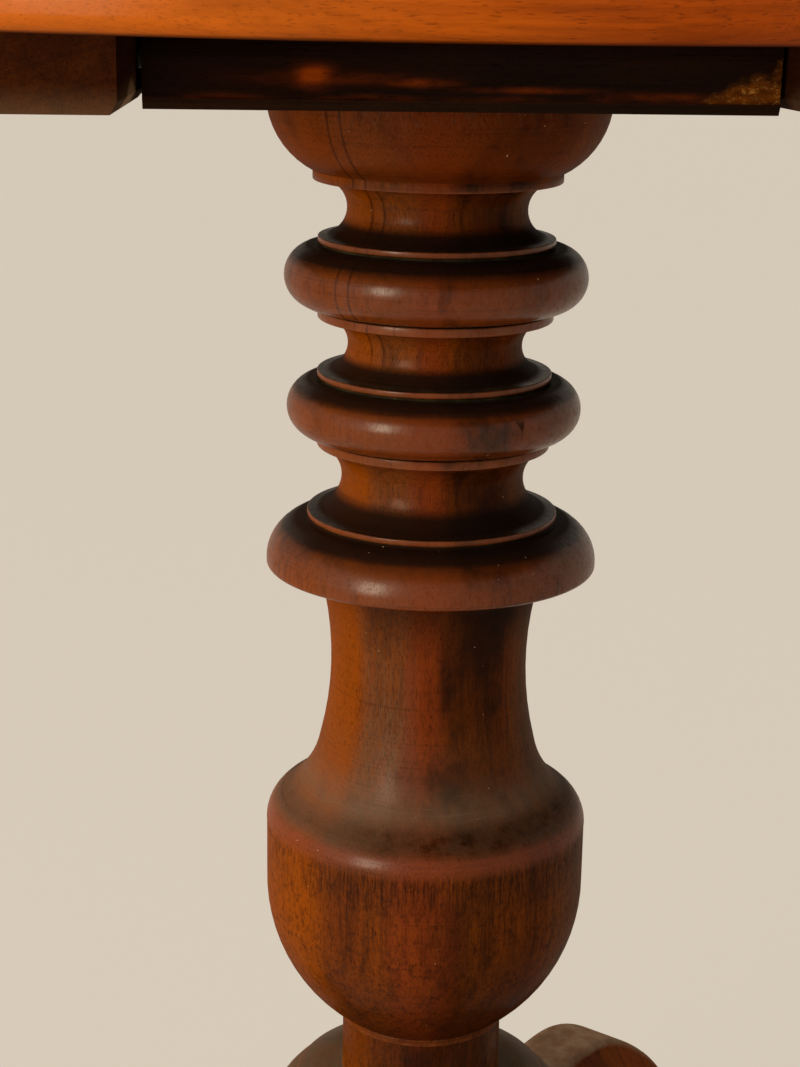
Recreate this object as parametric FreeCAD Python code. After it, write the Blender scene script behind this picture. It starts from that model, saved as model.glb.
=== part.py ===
"""Tilt-top wine table on a ring-turned column with three swept legs.

Millimetres. +Z is up and the origin is on the floor, under the column's axis.
The bearers run along Y, the top hinges on the block's -Y side and is caught on its +Y side.
"""
import FreeCAD, Part
import math
import os

Vector = FreeCAD.Vector
UP = Vector(0, 0, 1)

# Round top, three boards glued edge to edge with their grain along X
table_height = 700.0
top_radius = 255.0
top_thickness = 18.0
top_upper_round = 6.0
top_lower_round = 4.0
middle_board_width = 170.0

# Block on the column's head; its lower front and rear edges and the bearers' long lower edges are bevelled
block_length = 170.0
block_depth = 170.0
block_thickness = 26.0
bevel_height = 3.0
bevel_depth = 1.8

# Bearers either side of the block, thinned below towards their ends
bearer_height = 25.5
bearer_end_height = 22.0
bearer_width = 38.0
bearer_length = 304.0
bearer_level_length = 100.0
bearer_gap = 1.5
bearer_screw_spacing = 80.0
bearer_screw_rows = 4

# Hinge: steel pins screwed into the block, turning in the bearers
pivot_depth = 12.0
pivot_relief = 0.4
pin_radius = 4.0
pin_clearance = 0.05
pin_grip = 26.0
pin_head_radius = 8.0
pin_head_thickness = 3.0
pin_head_gap = 0.3
pin_slot_width = 1.4
pin_slot_depth = 1.2

# Column head: round tenon through the block, spread by one wedge
tenon_radius = 22.0
tenon_shortfall = 0.5
wedge_thickness = 4.0
wedge_tip = 1.0
wedge_depth = 18.0

# Turned column, from the block down: bowl
blank_radius = 53.0
bowl_rim = 2.5
bowl_curve = 21.7
bowl_belly_radius = 49.1
bowl_belly_share = 0.565

# Collars (flat fillets) and the quirks cut beside them
upper_collar_radius = 38.7
collar_radius = 37.0
cap_collar_radius = 40.0
under_collar_height = 2.8
over_collar_height = 1.8
quirk_depth = 1.0
quirk_height = 1.0

# Coves between the rings
first_cove_height = 17.3
first_waist_radius = 28.0
second_cove_height = 16.7
second_waist_radius = 27.4
third_cove_height = 21.2
third_waist_radius = 29.2
cove_waist_share = 0.52
third_waist_share = 0.58

# Two round rings and the cap ring below them
first_ring_height = 18.8
first_ring_radius = 47.4
second_ring_height = 17.4
second_ring_radius = 46.5
ring_crown_share = 0.56
cap_height = 14.2
cap_crown_radius = 49.8
cap_crown_share = 0.33
cap_lip = 1.4
cap_undercut = 9.2
neck_hollow = 7.0

# Long neck, flare and bulb
neck_top_radius = 34.3
neck_waist_radius = 31.9
neck_base_radius = 35.4
neck_height = 50.5
neck_waist_share = 0.45
flare_height = 18.7
flare_middle_radius = 40.2
flare_middle_share = 0.63
shoulder_radius = 46.5
shoulder_height = 11.2
shoulder_crown_radius = 51.5
shoulder_crown_share = 0.38
bulb_side = 18.6
bulb_under_height = 49.6
bulb_under_radius = 47.2
bulb_under_share = 0.544
bulb_base_radius = 27.6
foot_collar_radius = 27.9
foot_collar_height = 2.3

# Lower neck and the domed hub that takes the legs
lower_neck_radius = 27.0
lower_neck_height = 21.7
dome_height = 4.0
dome_middle_radius = 35.5
dome_middle_share = 0.35
dome_edge_radius = 43.0
hub_step = 1.6
hub_round_height = 14.9
hub_round_radius = 49.6
hub_round_share = 0.4
hub_height = 91.5

# Legs: sawn from board, hipped at the hub and swept to a small pad
leg_thickness = 25.0
leg_azimuth = 50.0
leg_drop_from_hub = 9.4
leg_round = 3.5
leg_flat = 44.0
leg_cope = 7.5
foot_radius = 240.0
toe_height = 15.0
toe_round = 5.0
sole_length = 32.0
leg_top_shares = (
    (0.11, 0.985), (0.25, 0.986), (0.435, 0.929), (0.56, 0.851), (0.66, 0.726), (0.74, 0.557), (0.803, 0.372),
    (0.863, 0.203), (0.935, 0.092),
)
leg_under_shares = ((0.772, 0.07), (0.723, 0.203), (0.65, 0.355), (0.575, 0.473), (0.48, 0.6), (0.36, 0.684))
dovetail_depth = 16.0
dovetail_neck = 12.0
dovetail_width = 18.0
dovetail_stop = 14.0

# Iron plate under the hub
plate_thickness = 2.5
plate_centre_radius = 34.0
plate_arm_width = 22.0
plate_end_margin = 1.5
plate_inner_screw_inset = 9.0
plate_outer_screw_offset = 27.0

# Countersunk wood screws: radius of head and shank, and bite into the wood past what they hold
bearer_screw_head = 4.2
bearer_screw_shank = 2.2
bearer_screw_bite = 10.0
bearer_screw_sink = 0.3
plate_screw_head = 4.0
plate_screw_shank = 2.0
plate_screw_bite = 17.5
catch_screw_head = 2.4
catch_screw_shank = 1.2
catch_screw_bite = 8.3
screw_tip_share = 2.2
screw_slot_share = 0.26
screw_slot_depth_share = 0.5

# Brass spring catch under the top, behind the block
catch_offset = 3.0
catch_width = 30.0
catch_tail = 8.0
catch_plate_thickness = 2.5
case_wall = 1.2
bolt_width = 14.0
bolt_height = 6.0
bolt_length = 42.0
bolt_entry = 5.0
bolt_bevel = 3.5
bolt_travel = 6.0
bolt_clearance = 0.2
knob_offset = 17.0
knob_stem_radius = 2.5
knob_stem_grip = 4.0
knob_stem_length = 5.5
knob_length = 10.0
knob_radius = 6.0
knob_tip_radius = 2.6
slot_clearance = 0.4
spring_room = 8.8
spring_strip = 0.5
spring_height_inset = 0.75
spring_side_inset = 0.5
catch_screw_inset = 8.0

# Brass keeper let into the block's rear edge
keeper_thickness = 1.5
keeper_width = 30.0
keeper_margin = 2.0
keeper_mouth_clearance = 0.4
keeper_pocket = 2.0
keeper_screw_spread = 9.0

# Overrun of cutting shapes
overrun = 2.0

# Levels and places that follow from the sizes above
top_underside = table_height - top_thickness
block_bottom = top_underside - block_thickness
bearer_bottom = top_underside - bearer_height
bearer_inner = block_length / 2 + bearer_gap
bearer_outer = bearer_inner + bearer_width
pivot_round = pivot_depth - pivot_relief
pivot_y = pivot_round - block_depth / 2
pivot_z = top_underside - pivot_depth
block_rear = block_depth / 2
catch_front = block_rear + catch_offset
case_roof = top_underside - catch_plate_thickness
bolt_top = case_roof - bolt_clearance
bolt_bottom = bolt_top - bolt_height
bolt_nose = block_rear - bolt_entry
bolt_tail = bolt_nose + bolt_length
spring_seat = bolt_tail + spring_room
case_rear = spring_seat + case_wall
case_floor = bolt_bottom - bolt_clearance
knob_y = catch_front + knob_offset
keeper_bottom = block_bottom + bevel_height + keeper_margin
mouth_bottom = bolt_bottom - keeper_mouth_clearance
bearer_screw = (bearer_screw_head, bearer_screw_shank, bearer_height + bearer_screw_bite)
plate_screw = (plate_screw_head, plate_screw_shank, plate_thickness + plate_screw_bite)
catch_screw = (catch_screw_head, catch_screw_shank, case_wall + catch_plate_thickness + catch_screw_bite)
quarter_share = 1 - math.cos(math.pi / 4)


def box(x, y, z):
    """Box between two places along each axis."""
    return Part.makeBox(x[1] - x[0], y[1] - y[0], z[1] - z[0], Vector(x[0], y[0], z[0]))


def prism(points, travel):
    """Solid of a flat polygon moved along a vector."""
    return Part.Face(Part.makePolygon(points + points[:1])).extrude(travel)


def turned(start_radius, start_z, cuts):
    """Solid turned about Z, cut from the top down.

    A cut (drop, radius) is straight; (drop, radius, crown radius, crown share) is an arc through its crown.
    """
    here = Vector(start_radius, 0, start_z)
    top = Vector(0, 0, start_z)
    edges = [Part.LineSegment(top, here).toShape()]
    for drop, radius, *crown in cuts:
        there = Vector(radius, 0, here.z - drop)
        if crown:
            crown_radius, crown_share = crown
            middle = Vector(crown_radius, 0, here.z - drop * crown_share)
            edges.append(Part.Arc(here, middle, there).toShape())
        else:
            edges.append(Part.LineSegment(here, there).toShape())
        here = there
    bottom = Vector(0, 0, here.z)
    edges.append(Part.LineSegment(here, bottom).toShape())
    edges.append(Part.LineSegment(bottom, top).toShape())
    return Part.Face(Part.Wire(edges)).revolve(Vector(), UP, 360)


def spline(points):
    """Smooth edge through a few points."""
    curve = Part.BSplineCurve()
    curve.interpolate(points)
    return curve.toShape()


def turned_to(shape, azimuth):
    """Copy of a shape made along +X, turned to an azimuth about the column's axis."""
    copy = shape.copy()
    copy.rotate(Vector(), UP, azimuth)
    return copy


def screw_blank(sizes):
    """Countersunk screw without its slot, driven along +Z from its head's face at the origin."""
    head_radius, shank_radius, length = sizes
    sink = head_radius - shank_radius
    tip = shank_radius * screw_tip_share
    head = Part.makeCone(head_radius, shank_radius, sink)
    shank = Part.makeCylinder(shank_radius, length - tip - sink, UP * sink)
    point = Part.makeCone(shank_radius, 0, tip, UP * (length - tip))
    return head.fuse([shank, point]).removeSplitter()


def slotted_screw(sizes):
    """Countersunk screw with the slot in its head."""
    head_radius, shank_radius, length = sizes
    half_slot = head_radius * screw_slot_share / 2
    slot_depth = (head_radius - shank_radius) * screw_slot_depth_share
    slot = box((-half_slot, half_slot), (-head_radius, head_radius), (-overrun, slot_depth))
    return screw_blank(sizes).cut(slot)


def driven(shape, place, drive):
    """Copy of a shape made along +Z, put at a place and turned along drive."""
    copy = shape.copy()
    copy.Placement = FreeCAD.Placement(place, FreeCAD.Rotation(UP, drive))
    return copy


def screws(sizes, places, drive):
    """A group of like screws, and the holes that they fill."""
    group = Part.makeCompound([driven(slotted_screw(sizes), place, drive) for place in places])
    return group, [driven(screw_blank(sizes), place, drive) for place in places]


def column():
    """Column turned from one blank, with its tenon above and its hub below."""
    quirk_radius = collar_radius - quirk_depth
    cap_quirk_radius = cap_collar_radius - quirk_depth
    quirk_root = quirk_radius - quirk_depth
    cap_lip_radius = blank_radius - cap_lip
    lip_crown_radius = blank_radius - cap_lip * quarter_share
    cuts = [
        (block_bottom_to_tenon_top, tenon_radius),
        (0, blank_radius),
        (bowl_rim, blank_radius),
        (bowl_curve, upper_collar_radius, bowl_belly_radius, bowl_belly_share),
        (under_collar_height, upper_collar_radius),
        (0, quirk_radius),
        (first_cove_height, quirk_radius, first_waist_radius, cove_waist_share),
        (0, collar_radius),
        (over_collar_height, collar_radius),
        (0, quirk_root),
        (quirk_height, quirk_radius),
        (first_ring_height, quirk_radius, first_ring_radius, ring_crown_share),
        (quirk_height, quirk_root),
        (0, collar_radius),
        (under_collar_height, collar_radius),
        (0, quirk_radius),
        (second_cove_height, quirk_radius, second_waist_radius, cove_waist_share),
        (0, collar_radius),
        (over_collar_height, collar_radius),
        (0, quirk_root),
        (quirk_height, quirk_radius),
        (second_ring_height, quirk_radius, second_ring_radius, ring_crown_share),
        (quirk_height, quirk_root),
        (0, collar_radius),
        (under_collar_height, collar_radius),
        (0, quirk_radius),
        (third_cove_height, cap_quirk_radius, third_waist_radius, third_waist_share),
        (0, cap_collar_radius),
        (over_collar_height, cap_collar_radius),
        (0, cap_quirk_radius),
        (quirk_height, cap_collar_radius),
        (cap_height, blank_radius, cap_crown_radius, cap_crown_share),
        (cap_lip, cap_lip_radius, lip_crown_radius, 1 - quarter_share),
        (cap_undercut - neck_hollow, neck_top_radius + neck_hollow),
        (neck_hollow, neck_top_radius, neck_top_radius + neck_hollow * quarter_share, quarter_share),
        (neck_height, neck_base_radius, neck_waist_radius, neck_waist_share),
        (flare_height, shoulder_radius, flare_middle_radius, flare_middle_share),
        (shoulder_height, blank_radius, shoulder_crown_radius, shoulder_crown_share),
        (bulb_side, blank_radius),
        (bulb_under_height, bulb_base_radius, bulb_under_radius, bulb_under_share),
        (0, foot_collar_radius),
        (foot_collar_height, foot_collar_radius),
        (0, lower_neck_radius),
        (lower_neck_height, lower_neck_radius),
        (dome_height, dome_edge_radius, dome_middle_radius, dome_middle_share),
        (hub_step, dome_edge_radius),
        (hub_round_height, blank_radius, hub_round_radius, hub_round_share),
        (hub_height, blank_radius),
    ]
    return turned(tenon_radius, tenon_top, cuts), tenon_top - sum(cut[0] for cut in cuts)


def leg_side():
    """Side outline of a leg, outwards along X from the column's axis."""
    reach = foot_radius - blank_radius
    inner = blank_radius - leg_cope

    def at(share):
        return Vector(blank_radius + share[0] * reach, 0, share[1] * leg_top)

    root_top = Vector(inner, 0, leg_top)
    root_bottom = Vector(inner, 0, hub_bottom)
    flat_end = Vector(blank_radius + leg_flat, 0, hub_bottom)
    toe_top = Vector(foot_radius - toe_round, 0, toe_height)
    toe_tip = Vector(foot_radius, 0, toe_height / 2)
    sole_front = Vector(foot_radius - toe_round, 0, 0)
    sole_back = Vector(foot_radius - toe_round - sole_length, 0, 0)
    edges = [
        spline([root_top] + [at(share) for share in leg_top_shares] + [toe_top]),
        Part.Arc(toe_top, toe_tip, sole_front).toShape(),
        Part.LineSegment(sole_front, sole_back).toShape(),
        spline([sole_back] + [at(share) for share in leg_under_shares] + [flat_end]),
        Part.LineSegment(flat_end, root_bottom).toShape(),
        Part.LineSegment(root_bottom, root_top).toShape(),
    ]
    return Part.Face(Part.Wire(edges))


def dovetail():
    """Tail on a leg's inner end, slid up into the hub from below."""
    tail = blank_radius - dovetail_depth
    points = [
        Vector(blank_radius, -dovetail_neck / 2, hub_bottom),
        Vector(blank_radius, dovetail_neck / 2, hub_bottom),
        Vector(tail, dovetail_width / 2, hub_bottom),
        Vector(tail, -dovetail_width / 2, hub_bottom),
    ]
    return prism(points, UP * (leg_top - dovetail_stop - hub_bottom))


def leg():
    """Leg along +X: a sawn board with its upper edges eased, coped to the hub, with its tail."""
    board = leg_side().extrude(Vector(0, leg_thickness, 0))
    board.translate(Vector(0, -leg_thickness / 2, 0))
    upper = [
        edge for edge in board.Edges
        if edge.Curve.TypeId == "Part::GeomBSplineCurve" and edge.BoundBox.ZMax > hub_bottom + leg_round
    ]
    board = board.makeFillet(leg_round, upper)
    hub = Part.makeCylinder(blank_radius, leg_top + overrun)
    return board.cut(hub).fuse(dovetail()).removeSplitter()


def tripod_plate():
    """Three-armed iron plate under the hub, one arm along each leg."""
    level = hub_bottom - plate_thickness
    arm_y = (-plate_arm_width / 2, plate_arm_width / 2)
    arm_end = blank_radius + leg_flat - plate_end_margin - plate_arm_width / 2
    arm = box((0, arm_end), arm_y, (level, hub_bottom))
    arm = arm.fuse(Part.makeCylinder(plate_arm_width / 2, plate_thickness, Vector(arm_end, 0, level)))
    arms = [turned_to(arm, azimuth) for azimuth in leg_azimuths]
    plate = Part.makeCylinder(plate_centre_radius, plate_thickness, Vector(0, 0, level))
    return plate.fuse(arms).removeSplitter()


def top_disc():
    """The whole round top, its edge rounded above and below."""
    upper_crown = top_radius - top_upper_round * quarter_share
    lower_crown = top_radius - top_lower_round * quarter_share
    cuts = [
        (top_upper_round, top_radius, upper_crown, quarter_share),
        (top_thickness - top_upper_round - top_lower_round, top_radius),
        (top_lower_round, top_radius - top_lower_round, lower_crown, 1 - quarter_share),
    ]
    return turned(top_radius - top_upper_round, table_height, cuts)


def pivot_pin(side):
    """Slotted pivot screw through a bearer into the block; side is -1 or 1 along X."""
    inner = block_length / 2 - pin_grip
    head_start = bearer_outer + pin_head_gap
    shank = Part.makeCylinder(pin_radius, head_start - inner, UP * inner)
    head = Part.makeCylinder(pin_head_radius, pin_head_thickness, UP * head_start)
    head_face = head_start + pin_head_thickness
    slot_x = (-pin_head_radius, pin_head_radius)
    slot_y = (-pin_slot_width / 2, pin_slot_width / 2)
    pin = shank.fuse(head).cut(box(slot_x, slot_y, (head_face - pin_slot_depth, head_face + overrun)))
    return driven(pin, Vector(0, pivot_y, pivot_z), Vector(side, 0, 0))


def pivot_block():
    """Block with its upper front edge rounded about the hinge, bored for the tenon and the pins."""
    half = block_length / 2
    front, rear = -block_depth / 2, block_depth / 2
    points = [
        Vector(-half, front, top_underside),
        Vector(-half, front, block_bottom + bevel_height),
        Vector(-half, front + bevel_depth, block_bottom),
        Vector(-half, rear - bevel_depth, block_bottom),
        Vector(-half, rear, block_bottom + bevel_height),
        Vector(-half, rear, top_underside),
    ]
    body = prism(points, Vector(block_length, 0, 0))
    corner = box((-half, half), (front, pivot_y), (pivot_z, top_underside))
    roller = Part.makeCylinder(pivot_round, block_length, Vector(-half, pivot_y, pivot_z), Vector(1, 0, 0))
    body = body.cut(corner.cut(roller))
    return body.cut(Part.makeCylinder(tenon_radius, block_thickness, Vector(0, 0, block_bottom)))


def bearer_low(y):
    """Height of a bearer's underside at a place along Y."""
    level, end = bearer_level_length / 2, bearer_length / 2
    share = max(0, abs(y) - level) / (end - level)
    return bearer_bottom + (bearer_height - bearer_end_height) * share


def bearer(side):
    """Bearer with bevelled lower edges and a bore for its hinge pin."""
    x = sorted((side * bearer_inner, side * bearer_outer))
    level, end = bearer_level_length / 2, bearer_length / 2
    stops = [(y, bearer_low(y)) for y in (-end, -level, level, end)]
    above_bevels = [Vector(x[0], y, z + bevel_height) for y, z in stops]
    above_bevels += [Vector(x[0], end, top_underside), Vector(x[0], -end, top_underside)]
    board = prism(above_bevels, Vector(bearer_width, 0, 0))
    for (y, z), (next_y, next_z) in zip(stops, stops[1:]):
        points = [
            Vector(x[0], y, z + bevel_height),
            Vector(x[1], y, z + bevel_height),
            Vector(x[1] - bevel_depth, y, z),
            Vector(x[0] + bevel_depth, y, z),
        ]
        board = board.fuse(prism(points, Vector(0, next_y - y, next_z - z)))
    board = board.removeSplitter()
    bore = Part.makeCylinder(
        pin_radius + pin_clearance, bearer_width, Vector(x[0], pivot_y, pivot_z), Vector(1, 0, 0)
    )
    return board.cut(bore)


def tenon_wedge():
    """Hardwood wedge across the tenon, driven from above."""
    thick, thin = wedge_thickness / 2, wedge_tip / 2
    low = tenon_top - wedge_depth
    points = [
        Vector(-thick, -tenon_radius, tenon_top),
        Vector(thick, -tenon_radius, tenon_top),
        Vector(thin, -tenon_radius, low),
        Vector(-thin, -tenon_radius, low),
    ]
    bar = prism(points, Vector(0, tenon_radius * 2, 0))
    return bar.common(Part.makeCylinder(tenon_radius, wedge_depth, Vector(0, 0, low)))


def catch_plate():
    """Flat brass plate against the top's underside."""
    half = catch_width / 2
    return box((-half, half), (catch_front, case_rear + catch_tail), (case_roof, top_underside))


def catch_case():
    """Brass case with side flanges, open towards the block and slotted below for the knob."""
    half = bolt_width / 2 + bolt_clearance
    outer = half + case_wall
    flange = catch_width / 2
    length = (catch_front, case_rear)
    case = box((-outer, outer), length, (case_floor - case_wall, case_roof))
    case = case.fuse(box((-flange, flange), length, (case_roof - case_wall, case_roof))).removeSplitter()
    case = case.cut(box((-half, half), (catch_front - overrun, spring_seat), (case_floor, case_roof)))
    slot_half = knob_stem_radius + slot_clearance
    slot_y = (knob_y - slot_half, knob_y + bolt_travel + slot_half)
    return case.cut(box((-slot_half, slot_half), slot_y, (case_floor - case_wall, case_floor)))


def catch_bolt():
    """Sliding brass bolt with its nose bevelled below."""
    half = bolt_width / 2
    points = [
        Vector(-half, bolt_nose, bolt_top),
        Vector(-half, bolt_tail, bolt_top),
        Vector(-half, bolt_tail, bolt_bottom),
        Vector(-half, bolt_nose + bolt_bevel, bolt_bottom),
        Vector(-half, bolt_nose, bolt_bottom + bolt_bevel),
    ]
    return prism(points, Vector(bolt_width, 0, 0))


def catch_knob():
    """Turned brass finger knob, its stem screwed into the bolt."""
    cuts = [
        (knob_stem_grip + knob_stem_length, knob_stem_radius),
        (knob_length, knob_tip_radius, knob_radius, ring_crown_share),
    ]
    knob = turned(knob_stem_radius, bolt_bottom + knob_stem_grip, cuts)
    knob.translate(Vector(0, knob_y, 0))
    return knob


def catch_spring():
    """Flat steel strip folded to a V, one leaf on the case's rear wall and the other on the bolt's tail."""
    half = bolt_width / 2 - spring_side_inset
    low = bolt_bottom + spring_height_inset
    slope = spring_room / (half * 2)
    leaf = spring_strip * math.hypot(1, slope)
    fold = half - (leaf + spring_strip) / slope
    points = [
        Vector(-half, spring_seat, low),
        Vector(half, spring_seat, low),
        Vector(-half, bolt_tail, low),
        Vector(-half, bolt_tail + leaf, low),
        Vector(fold, spring_seat - spring_strip, low),
        Vector(-half, spring_seat - spring_strip, low),
    ]
    return prism(points, UP * (bolt_height - spring_height_inset * 2))


def keeper_mouth(front):
    """Opening for the bolt's nose, from a place inside the block out past its rear face."""
    half = bolt_width / 2 + keeper_mouth_clearance
    return box((-half, half), (front, block_rear), (mouth_bottom, bolt_top + keeper_mouth_clearance))


tenon_top = top_underside - tenon_shortfall
block_bottom_to_tenon_top = tenon_top - block_bottom
turned_column, hub_bottom = column()
leg_top = hub_bottom + hub_height - leg_drop_from_hub
leg_names = ("leg_rear_right", "leg_left", "leg_front_right")
leg_azimuths = [leg_azimuth + turn * 360 / len(leg_names) for turn in range(len(leg_names))]

# Screws and the holes that they fill
row_start = -bearer_screw_spacing * (bearer_screw_rows - 1) / 2
bearer_screw_rows_y = [row_start + row * bearer_screw_spacing for row in range(bearer_screw_rows)]
bearer_screw_places = [
    Vector(side * (bearer_inner + bearer_width / 2), y, bearer_low(abs(y) + bearer_screw_head) + bearer_screw_sink)
    for side in (-1, 1)
    for y in bearer_screw_rows_y
]
bearer_screws, bearer_holes = screws(bearer_screw, bearer_screw_places, UP)
bearer_pockets = [
    Part.makeCylinder(bearer_screw_head, bearer_screw_sink + overrun, place, -UP) for place in bearer_screw_places
]

plate_level = hub_bottom - plate_thickness
plate_radii = (blank_radius - plate_inner_screw_inset, blank_radius + plate_outer_screw_offset)
plate_screw_places = [Vector(0, 0, plate_level)] + [
    FreeCAD.Rotation(UP, azimuth).multVec(Vector(radius, 0, plate_level))
    for azimuth in leg_azimuths
    for radius in plate_radii
]
plate_screws, plate_holes = screws(plate_screw, plate_screw_places, UP)

flange_middle = (catch_width / 2 + bolt_width / 2 + bolt_clearance + case_wall) / 2
catch_screw_places = [
    Vector(side * flange_middle, y, case_roof - case_wall)
    for side in (-1, 1)
    for y in (catch_front + catch_screw_inset, case_rear - catch_screw_inset)
]
catch_screws, catch_holes = screws(catch_screw, catch_screw_places, UP)

keeper_screw_places = [
    Vector(side * keeper_screw_spread, block_rear, (keeper_bottom + mouth_bottom) / 2) for side in (-1, 1)
]
keeper_screws, keeper_holes = screws(catch_screw, keeper_screw_places, Vector(0, -1, 0))

# Pieces
legs = [turned_to(leg(), azimuth) for azimuth in leg_azimuths]
sockets = [turned_to(dovetail(), azimuth) for azimuth in leg_azimuths]
wedge = tenon_wedge()
pins = {"left": pivot_pin(-1), "right": pivot_pin(1)}
keeper_half = keeper_width / 2
keeper_blank = box(
    (-keeper_half, keeper_half),
    (block_rear - keeper_thickness, block_rear),
    (keeper_bottom, top_underside),
)
disc = top_disc()
seam = middle_board_width / 2
board_spans = {"front": (-top_radius, -seam), "middle": (-seam, seam), "rear": (seam, top_radius)}
knob = catch_knob()

parts = {
    "column": turned_column.cut(sockets + [wedge] + plate_holes),
    "tenon_wedge": wedge,
    "pivot_block": pivot_block().cut(
        list(pins.values()) + [keeper_blank, keeper_mouth(bolt_nose - keeper_pocket)] + keeper_holes
    ),
    "tripod_plate": tripod_plate().cut(plate_holes),
    "tripod_plate_screws": plate_screws,
    "bearer_left": bearer(-1).cut(bearer_holes + bearer_pockets),
    "bearer_right": bearer(1).cut(bearer_holes + bearer_pockets),
    "bearer_screws": bearer_screws,
    "pivot_pin_left": pins["left"],
    "pivot_pin_right": pins["right"],
    "catch_plate": catch_plate().cut(catch_holes),
    "catch_case": catch_case().cut(catch_holes),
    "catch_bolt": catch_bolt().cut(knob),
    "catch_knob": knob,
    "catch_spring": catch_spring(),
    "catch_screws": catch_screws,
    "catch_keeper": keeper_blank.cut([keeper_mouth(block_rear - keeper_thickness)] + keeper_holes),
    "keeper_screws": keeper_screws,
}
for name, shape in zip(leg_names, legs):
    parts[name] = shape.cut(plate_holes)
for name, y in board_spans.items():
    board = disc.common(box((-top_radius, top_radius), y, (top_underside, table_height)))
    parts["top_board_" + name] = board.cut(bearer_holes + catch_holes)

os.makedirs("parts", exist_ok=True)
for name, shape in parts.items():
    shape.exportStep("parts/" + name + ".step")
    print(name, "solids", len(shape.Solids), "valid", shape.isValid(), "volume", round(shape.Volume))
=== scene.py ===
import math

import bmesh
import bpy
import numpy as np
from mathutils import Matrix, Vector, noise
from mathutils.kdtree import KDTree


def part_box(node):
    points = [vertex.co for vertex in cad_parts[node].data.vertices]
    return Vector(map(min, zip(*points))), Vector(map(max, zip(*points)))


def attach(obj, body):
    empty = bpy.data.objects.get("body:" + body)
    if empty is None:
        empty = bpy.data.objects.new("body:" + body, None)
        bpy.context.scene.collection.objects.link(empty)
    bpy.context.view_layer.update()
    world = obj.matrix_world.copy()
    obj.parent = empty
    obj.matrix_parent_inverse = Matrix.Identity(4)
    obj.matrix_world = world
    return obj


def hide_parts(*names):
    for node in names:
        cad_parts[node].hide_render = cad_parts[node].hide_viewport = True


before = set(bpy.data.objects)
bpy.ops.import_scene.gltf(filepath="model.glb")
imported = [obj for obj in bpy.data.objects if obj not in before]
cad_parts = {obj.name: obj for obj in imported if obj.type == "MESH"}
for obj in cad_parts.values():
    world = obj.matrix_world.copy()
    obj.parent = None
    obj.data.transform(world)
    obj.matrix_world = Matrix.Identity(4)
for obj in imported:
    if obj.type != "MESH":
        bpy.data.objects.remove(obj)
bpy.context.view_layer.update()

# Column: one blank of dark mahogany, turned on a lathe, stained, waxed and handled for generations.
# Its outline is read from the seam of the solid, its arrises are eased as use eases them, and it is
# spun whole, with the tenon that goes up through the block and the hub that the legs are let into.
MM = 0.001


class Wire:
    """A value on its way through a finish: sums written with it add Math nodes."""

    def __init__(self, finish, socket):
        self.finish = finish
        self.socket = socket

    def math(self, operation, first, second):
        return self.finish.node("ShaderNodeMath", {"operation": operation}, {0: first, 1: second})

    def __add__(self, other):
        return self.math("ADD", self, other)

    def __radd__(self, other):
        return self.math("ADD", other, self)

    def __sub__(self, other):
        return self.math("SUBTRACT", self, other)

    def __rsub__(self, other):
        return self.math("SUBTRACT", other, self)

    def __mul__(self, other):
        return self.math("MULTIPLY", self, other)

    def __rmul__(self, other):
        return self.math("MULTIPLY", other, self)

    def between(self, low, high):
        """0 below low, 1 above high, and a smooth step from one to the other."""
        return self.finish.node(
            "ShaderNodeMapRange", {"interpolation_type": "SMOOTHSTEP"},
            {"Value": self, "From Min": low, "From Max": high},
        )


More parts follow.
